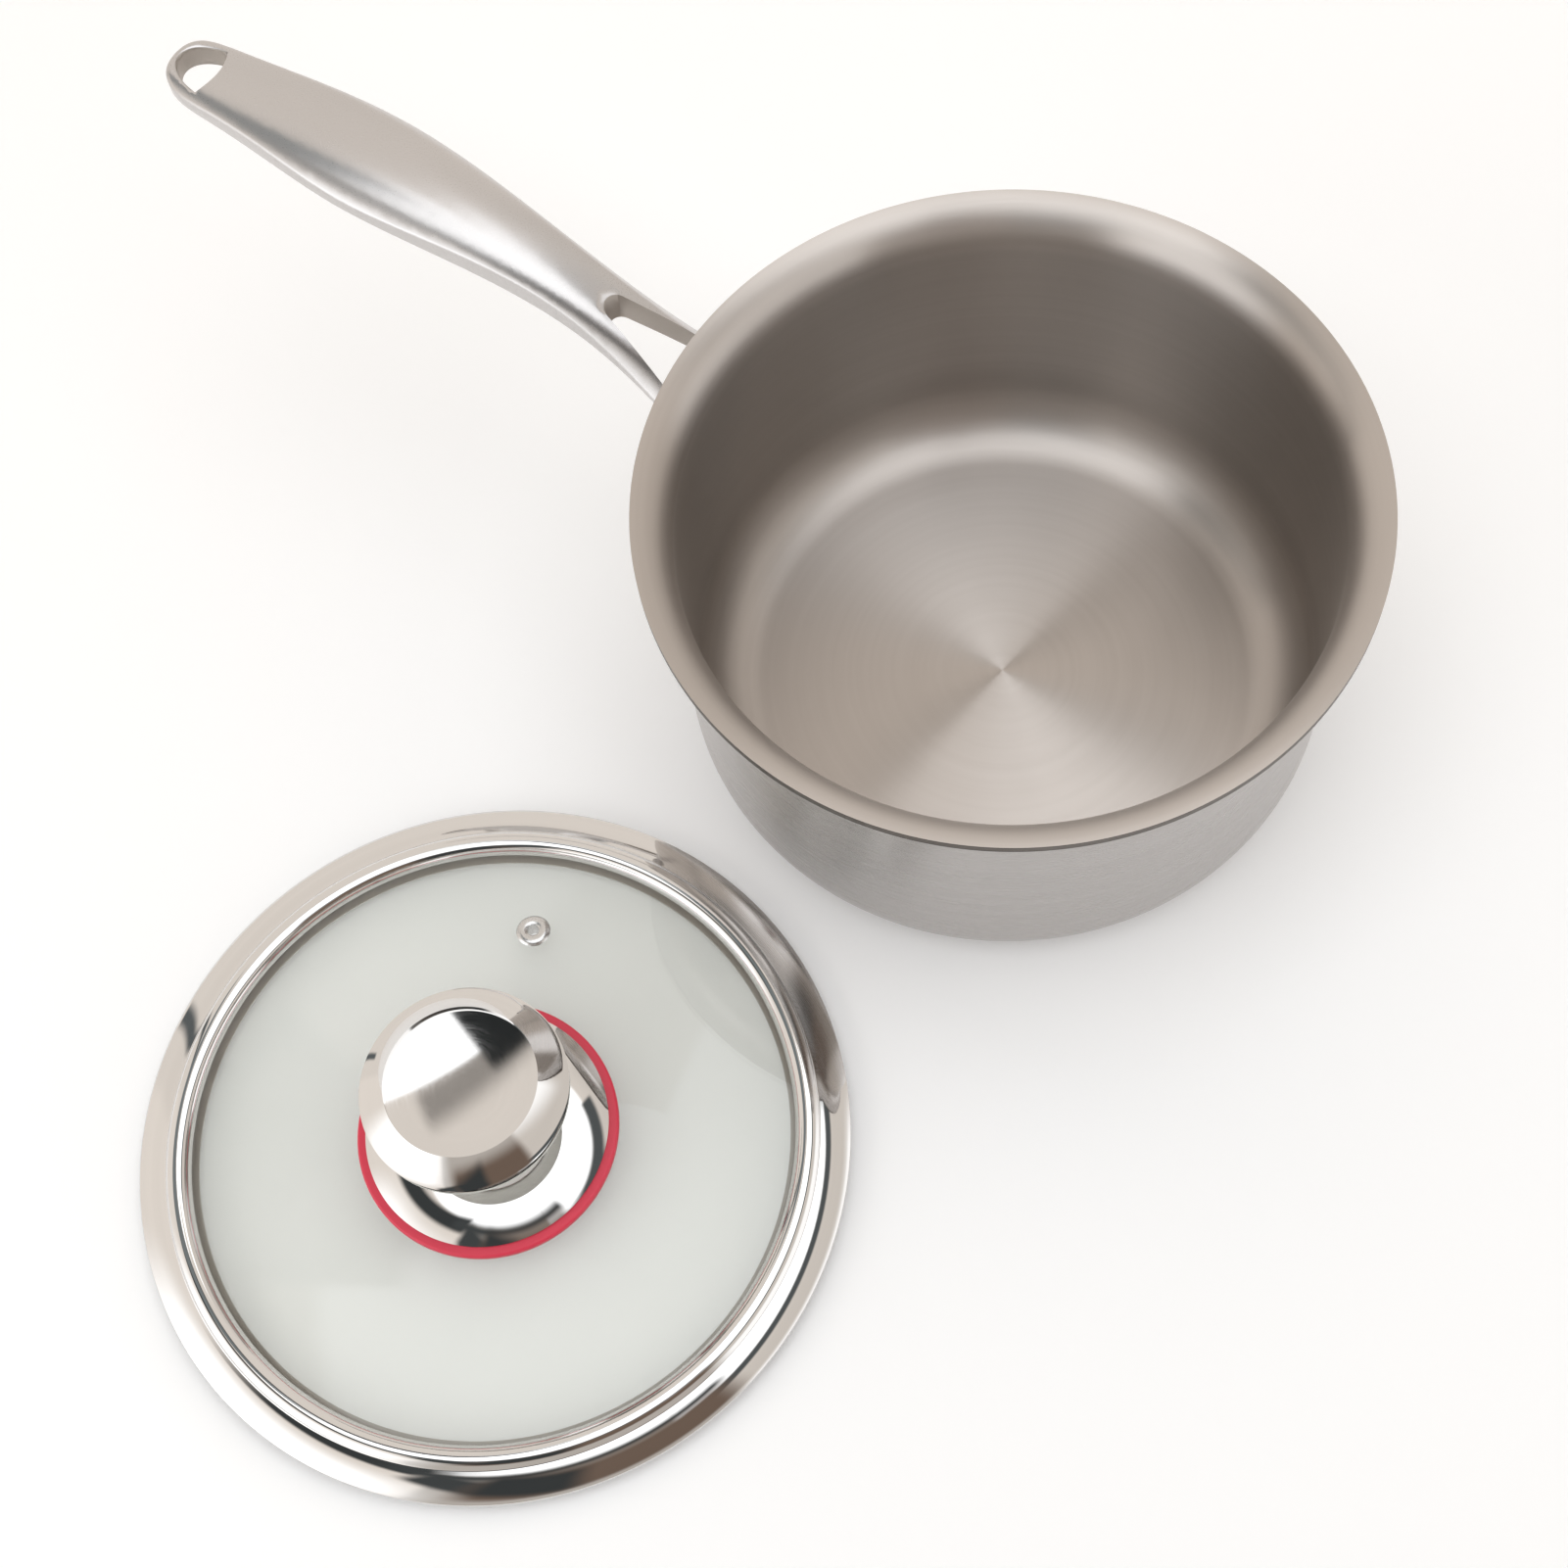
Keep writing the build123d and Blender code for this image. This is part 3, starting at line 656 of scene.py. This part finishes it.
def round_ring(piece, axis, radius, size, segments=4):
    """Rounds the level edges of a turned piece that lie at one distance from its axis."""
    shape = bmesh.new()
    shape.from_mesh(piece.data)
    ring = []
    for edge in shape.edges:
        away = [hypot(v.co.x / MM - axis[0], v.co.y / MM - axis[1]) - radius for v in edge.verts]
        climb = edge.verts[0].co.z - edge.verts[1].co.z
        if max(abs(distance) for distance in away) < 0.02 and abs(climb) < 1e-6:
            ring.append(edge)
    bmesh.ops.bevel(
        shape,
        geom=ring,
        offset=size * MM,
        offset_type="OFFSET",
        segments=segments,
        profile=0.5,
        affect="EDGES",
        material=-1,
        clamp_overlap=True,
    )
    shape.to_mesh(piece.data)
    shape.free()
    piece.data.set_sharp_from_angle(angle=radians(SHARP))
    print(piece.name, "rounded", len(ring), "edges")


# %% The dome
dome = spin_piece("glass_dome", draw_glass(), LID_AXIS, steps=192)
round_ring(dome, LID_AXIS, glass_radius, 0.7)

# %% [markdown]
# The vent stands square to the dome: what belongs to it is turned upright at the origin, then tipped and
# carried out to its place. A drill of the hole's size is taken out of the glass with a Boolean.

# %% The vent's place
outwards = Matrix.Rotation(radians(vent_bearing), 4, "Z") @ Matrix.Rotation(asin(vent_distance / dome_radius), 4, "Y")
lid_centre = Vector((lid_x, lid_y, dome_height)) * MM
vent_place = Matrix.Translation(lid_centre) @ outwards @ Matrix.Translation((0, 0, dome_radius * MM))


def drill(piece, place, radius, depth):
    """Takes a round hole out of a piece and keeps the result as the piece's own mesh."""
    shape = bmesh.new()
    bmesh.ops.create_cone(
        shape, cap_ends=True, segments=48, radius1=radius * MM, radius2=radius * MM, depth=depth * MM, matrix=place
    )
    tool = keep_piece("drill", shape)
    hole = piece.modifiers.new("hole", "BOOLEAN")
    hole.operation = "DIFFERENCE"
    hole.solver = "EXACT"
    hole.object = tool
    keep_result(piece)
    bpy.data.objects.remove(tool)
    print(piece.name, "drilled,", len(piece.data.polygons), "faces")


drill(dome, vent_place, vent_hole_radius, 3 * glass_thickness)
dress(dome, "lid", "lid_glass", glass, "lid_glass")
dome.visible_shadow = False

# %% [markdown]
# The eyelet is a thin tube that lets steam out. Its upper end is rolled over on to the glass and its lower end is
# set under it. It is drawn solid, head, tube and set end in one section, because it is too small for a strip that
# Solidify would have to bend so tightly. Heights are measured from the top of the glass.

# %% The vent eyelet
vent_bore, vent_wall = 1.7, 0.5
head_radius, head_height = 4.9, 0.5
set_radius, set_height = 3.6, 0.5
seat_gap = 0.05
under_glass = -(glass_thickness + seat_gap)
eyelet = Section(vent_bore, head_height)  # then one arc from the bore to the head's edge
eyelet.arc((3.0755, -1.3213), -90.13, 12)
eyelet.line(head_radius, seat_gap).line(vent_bore + vent_wall, seat_gap)
eyelet.line(vent_bore + vent_wall, under_glass)
eyelet.line(set_radius, under_glass).line(vent_bore, under_glass - set_height).close()
vent = spin_piece("vent_eyelet_rivet", eyelet, (0, 0), steps=64, sharp=30)
vent.data.transform(vent_place)
dress(vent, "lid", "polished_steel", fixing_steel, "vent_eyelet")

# %% [markdown]
# A silicone ring keeps the steel saucer off the glass. A torus would be too round for it: the ring is a flat
# washer whose underside leans with the dome, and whose outer edge is rounded where it shows beside the saucer.

# %% Gasket
gasket_radius, gasket_inner = 36.2, 27.2
gasket_round = 0.9
gasket_top = box_mm("knob_gasket")[1][2]
gasket = Section(gasket_inner, dome_top(gasket_inner) + seat_gap)
gasket.line(gasket_inner, gasket_top).line(gasket_radius - gasket_round, gasket_top)
gasket.arc((gasket_radius - gasket_round, gasket_top - gasket_round), -90, 8)
gasket.line(gasket_radius, dome_top(gasket_radius) + seat_gap).close()
washer = spin_piece("silicone_ring", gasket, LID_AXIS, steps=160)
dress(washer, "lid", "gasket", silicone, "knob_gasket")

# %% [markdown]
# The saucer under the knob is spun sheet: a flat seat in the middle, and one arc that leaves the seat level and
# falls to the edge. A squashed sphere would come near, but its reflections would break at the seat; an arc that
# starts level runs on smoothly.

# %% The saucer
saucer_radius, saucer_height, shell = 33.6, 5.6, 0.9
saucer_foot = box_mm("knob_saucer")[0][2]
bore_radius, seat_radius = 6.05, 12.0


def fall_arc(section, end_radius, end_height, steps):
    """Bends down, from a level heading, to a point further out."""
    out, down = end_radius - section.pen.co.x, section.pen.co.z - end_height
    turn = 2 * atan2(down, out)
    section.bend(hypot(out, down) / (2 * sin(turn / 2)), -degrees(turn), steps)


saucer = Strip(bore_radius, saucer_foot + saucer_height, 0)
saucer.straight(seat_radius - bore_radius)
fall_arc(saucer, saucer_radius, saucer_foot + shell, 32)
saucer_plate = thicken(spin_piece("knob_saucer_plate", saucer, LID_AXIS, steps=192), shell, -1)
compare(saucer_plate, "knob_saucer")
dress(saucer_plate, "lid", "polished_steel", polished_steel, "knob_saucer")

# %% [markdown]
# ## The knob
# A spun trumpet carries a cap with a bevelled brim, and a disc is pressed into the cap. The trumpet and the cap
# are sheet, so each is an open section that Solidify thickens. The disc is drawn whole, a little dished, because
# a flat mirror would show one spot of the room and look like a hole. Known fault: the sheet of the trumpet and of
# the cap lies outside the drawn line, where the CAD pieces have it inside. The sizes printed below show it.

# %% The knob's body
knob_seat = box_mm("knob_body")[0][2]
trumpet = Strip(bore_radius, knob_seat, 0)
trumpet.straight(3.302).bend(1.2, 105.94, 8).bend(23.557, -15.94, 8).bend(18.881, -86.72, 24)
knob = thicken(spin_piece("knob_trumpet", trumpet, LID_AXIS, steps=160), shell, -1)
compare(knob, "knob_body")
dress(knob, "lid", "polished_steel", polished_steel, "knob_body")

# %% The knob's cap
knob_radius, brim_width, brim_slope = 27.4, 1.7, 0.45
bevel_height = 3.9
recess_radius, recess_depth, ledge_width = 21.25, 1.45, 3.0
cap_top = box_mm("knob_cap")[1][2]
brim_z = cap_top - brim_slope * brim_width - bevel_height
cap = Section(knob_radius, brim_z)
cap.line(knob_radius - brim_width, brim_z + brim_slope * brim_width).line(recess_radius, cap_top)
cap.line(recess_radius, cap_top - recess_depth).line(recess_radius - ledge_width, cap_top - recess_depth)
cap_ring = thicken(spin_piece("knob_cap_ring", cap, LID_AXIS, steps=192), shell, 1, sharp=20)
compare(cap_ring, "knob_cap")
dress(cap_ring, "lid", "polished_steel", polished_steel, "knob_cap")

# %% The knob's disc
disc_radius, disc_thickness, dish = 21.2, 1.4, 0.7
dish_radius = (disc_radius**2 + dish**2) / (2 * dish)
disc = Section(0, cap_top - dish)
disc.arc((0, cap_top - dish + dish_radius), degrees(asin(disc_radius / dish_radius)), 24)
disc.line(disc_radius, cap_top - disc_thickness).line(0, cap_top - disc_thickness).close()
disc_plate = spin_piece("knob_disc_plate", disc, LID_AXIS, steps=160)
round_ring(disc_plate, LID_AXIS, disc_radius, 0.3, segments=3)
dress(disc_plate, "lid", "polished_steel", polished_steel, "knob_disc")

# %% [markdown]
# The stem, bush, washers and screw hold the knob from below. Their CAD solids already have the right shape, so
# they stay and only get a finish; new pieces would add nothing.

# %% Small fixings keep their CAD solids
for node in ("knob_post", "glass_bush", "screw_washer", "lock_washer", "lid_screw"):
    nodes[node].data.materials.clear()
    nodes[node].data.materials.append(nylon if node == "glass_bush" else fixing_steel)
    print(node, "in", nodes[node].data.materials[0].name)

# %% [markdown]
# ## The studio
# The floor is a plain pale sheet. Over it stands a light tent, a dome that shines softly on everything below
# it. Polished steel shows what it mirrors, so the tent is painted like a studio: a bright ceiling, warm walls,
# a large soft box on the left, and dark panels between them. Every patch of the paint has soft edges. The
# camera doesn't see the tent, only the white world behind it. Separate lamps and cards would light the scene as
# well, but their hard edges would show as steps in the polished band and knob.

# %% Floor and world
floor_reach, floor_drop = 5, 0.0002  # metres; the drop keeps it clear of the pan's base
floor_glow = 0.1  # only for the camera, mirrors and glass
floor_shape = bmesh.new()
bmesh.ops.create_grid(floor_shape, x_segments=4, y_segments=4, size=floor_reach)
bmesh.ops.translate(floor_shape, verts=floor_shape.verts, vec=(0, 0, -floor_drop))
floor = keep_piece("floor", floor_shape)
paper, paper_shader = new_material("pale paper", (0.96, 0.96, 0.96), 0.0, 0.9)
paper_shader.inputs["Specular IOR Level"].default_value = 0.0
tree = paper.node_tree
path = tree.nodes.new("ShaderNodeLightPath")
seen = math_node(tree, "ADD", path.outputs["Is Camera Ray"], path.outputs["Is Glossy Ray"])
seen = math_node(tree, "ADD", seen, path.outputs["Is Transmission Ray"], clamp=True)
paper_shader.inputs["Emission Color"].default_value = (0.97, 1.0, 1.03, 1)
tree.links.new(math_node(tree, "MULTIPLY", seen, floor_glow), paper_shader.inputs["Emission Strength"])
floor.data.materials.append(paper)

world = bpy.data.worlds.new("white room")
world.use_nodes = True
world.node_tree.nodes["Background"].inputs["Color"].default_value = (1, 1, 1, 1)
world.node_tree.nodes["Background"].inputs["Strength"].default_value = 1.0
world.cycles.sampling_method = "NONE"
bpy.context.scene.world = world

# %% The tent's shape
tent_radius, tent_foot = 1.1, -0.0001
tent_shape = bmesh.new()
foot = tent_shape.verts.new((tent_radius, 0, tent_foot))
bmesh.ops.spin(
    tent_shape, geom=[foot], cent=(0, 0, 0), axis=(0, -1, 0), dvec=(0, 0, 0), angle=pi / 2, steps=18,
    use_merge=False, use_duplicate=False,
)
bmesh.ops.spin(
    tent_shape, geom=list(tent_shape.verts) + list(tent_shape.edges), cent=(0, 0, 0), axis=(0, 0, 1),
    dvec=(0, 0, 0), angle=2 * pi, steps=48, use_merge=True, use_duplicate=False,
)
bmesh.ops.remove_doubles(tent_shape, verts=tent_shape.verts, dist=0.0001)
bmesh.ops.recalc_face_normals(tent_shape, faces=tent_shape.faces)
bmesh.ops.reverse_faces(tent_shape, faces=tent_shape.faces)
tent = keep_piece("light_tent", tent_shape)
tent.visible_camera = False
tent.visible_transmission = False


# %% The tent's paint
def paint_patch(tree, under, azimuth, elevation, azimuths, elevations, slope, soft, color):
    """Paints a patch with soft edges over what is under it, and returns the new colour.

    Angles are in degrees, seen from the lid's axis on the floor. A slope makes the patch climb with the azimuth.
    """
    sideways = math_node(tree, "SUBTRACT", azimuth, sum(azimuths) / 2)
    sideways = math_node(tree, "WRAP", sideways, 180.0, -180.0)
    upwards = math_node(tree, "SUBTRACT", elevation, sum(elevations) / 2)
    upwards = math_node(tree, "SUBTRACT", upwards, math_node(tree, "MULTIPLY", sideways, slope))
    mask = None
    for away, (low, high) in ((sideways, azimuths), (upwards, elevations)):
        away = math_node(tree, "ABSOLUTE", away)
        edge = tree.nodes.new("ShaderNodeMapRange")
        edge.interpolation_type = "SMOOTHSTEP"
        tree.links.new(away, edge.inputs["Value"])
        edge.inputs["From Min"].default_value = (high - low + soft) / 2
        edge.inputs["From Max"].default_value = max(0.0, (high - low - soft) / 2)
        mask = edge.outputs["Result"] if mask is None else math_node(tree, "MULTIPLY", mask, edge.outputs["Result"])
    mix = tree.nodes.new("ShaderNodeMix")
    mix.data_type = "RGBA"
    tree.links.new(mask, mix.inputs["Factor"])
    tree.links.new(under, mix.inputs["A"])
    mix.inputs["B"].default_value = (*color, 1)
    return mix.outputs["Result"]


def paint_tent(patches):
    paint = bpy.data.materials.new("tent paint")
    paint.use_nodes = True
    tree = paint.node_tree
    tree.nodes.clear()
    direction = tree.nodes.new("ShaderNodeVectorMath")
    direction.operation = "NORMALIZE"
    tree.links.new(object_place(tree, LID_AXIS), direction.inputs[0])
    split = tree.nodes.new("ShaderNodeSeparateXYZ")
    tree.links.new(direction.outputs[0], split.inputs[0])
    x, y, z = split.outputs
    azimuth = math_node(tree, "DEGREES", math_node(tree, "ARCTAN2", y, x))
    elevation = math_node(tree, "DEGREES", math_node(tree, "ARCSINE", z))
    base = tree.nodes.new("ShaderNodeRGB")
    base.outputs[0].default_value = (*WALL, 1)
    color = base.outputs[0]
    for azimuths, elevations, slope, soft, patch_color in patches:
        color = paint_patch(tree, color, azimuth, elevation, azimuths, elevations, slope, soft, patch_color)
    glow = tree.nodes.new("ShaderNodeEmission")
    tree.links.new(color, glow.inputs["Color"])
    sink = tree.nodes.new("ShaderNodeOutputMaterial")
    tree.links.new(glow.outputs[0], sink.inputs["Surface"])
    return paint


def shade(strength, tint=(1.0, 1.0, 1.0)):
    return tuple(strength * channel for channel in tint)


# %% The patches
COOL = (0.98, 1.0, 1.02)
WARM = (1.0, 0.93, 0.86)
BROWN = (1.0, 0.72, 0.56)
SLATE = (0.88, 0.97, 1.0)
WALL = shade(0.92, WARM)
ALL_ROUND = (-190, 190)
# Each has its azimuths, elevations, slope, softness and colour. Azimuth 0 is the right, 270 the front. A later
# patch covers an earlier one.
patches = [
    ((-10, 95), (-10, 50), 0, 12, shade(0.8, WARM)),  # right wall
    ((-15, 50), (-10, 28), 0, 14, shade(1.4)),  # its bright foot
    ((272, 350), (-10, 60), 0, 10, shade(0.6, WARM)),  # front wall
    ((188, 275), (-10, 57), 0, 4, shade(1.0, WARM)),  # soft box
    ((218, 272), (-10, 42), 0, 26, shade(2.0, COOL)),  # its bright middle
    ((146, 190), (69.6, 72), 0.05, 1.8, shade(0.38, WARM)),  # dim strip, left
    ((205, 335), (64, 120), 0, 3, shade(1.9, COOL)),  # ceiling, front
    ((-25, 100), (56, 120), 0, 3, shade(1.9, COOL)),  # ceiling, right
    (ALL_ROUND, (71, 120), 0, 0.3, shade(1.9, COOL)),  # ceiling
    ((-22, 75), (50, 57), 0, 3, shade(0.12, SLATE)),  # dark panel, right
    ((157, 180), (69.6, 77.0), 0, 1.0, shade(0.03, SLATE)),  # dark panel, high on the left
    ((166, 206), (47, 72), 0, 4, shade(0.26, SLATE)),  # dim panel, left
    ((203, 266), (52.5, 62.5), 0.15, 4, shade(0.06, SLATE)),  # dark panel over the soft box
    ((256, 352), (59, 65.5), 0.02, 7, shade(0.08, SLATE)),  # dark panel, front
    ((267, 298), (43, 58), -0.45, 6, shade(0.08, SLATE)),  # its slanting end
    ((284, 350), (33, 60), 0, 10, shade(0.2, BROWN)),  # brown panel under it
    ((284, 310), (37, 60), -0.3, 9, shade(0.06, SLATE)),  # its dark end
    ((176.5, 179.5), (5, 48), 0, 2, shade(0.15, SLATE)),  # thin dark post, left
]
tent.data.materials.append(paint_tent(patches))
print("tent:", len(patches), "patches")

# %% [markdown]
# ## The camera
# A normal lens looks steeply down on the pan and its lid, from the front and a little to the right. A constraint
# could aim it at the object, but it would keep the view upright. Here the camera is also rolled a little, so
# its three directions are given as vectors and make its matrix.

# %% Camera
eye = Vector((0.14826, -0.303378, 0.651743))
forward = Vector((-0.26106593, 0.33414916, -0.90564282))
right = Vector((0.86352333, 0.50018329, -0.06437494))
camera_data = bpy.data.cameras.new("camera")
camera_data.lens = 55.74
camera_data.sensor_width = 36.0
camera = bpy.data.objects.new("camera", camera_data)
turned = Matrix((right, right.cross(forward), -forward)).transposed()
camera.matrix_world = Matrix.Translation(eye) @ turned.to_4x4()
bpy.context.scene.collection.objects.link(camera)
bpy.context.scene.camera = camera
bpy.context.scene.view_settings.view_transform = "Standard"
print("camera", camera_data.lens, "mm, looking down by", round(degrees(asin(-forward.z))), "degrees")
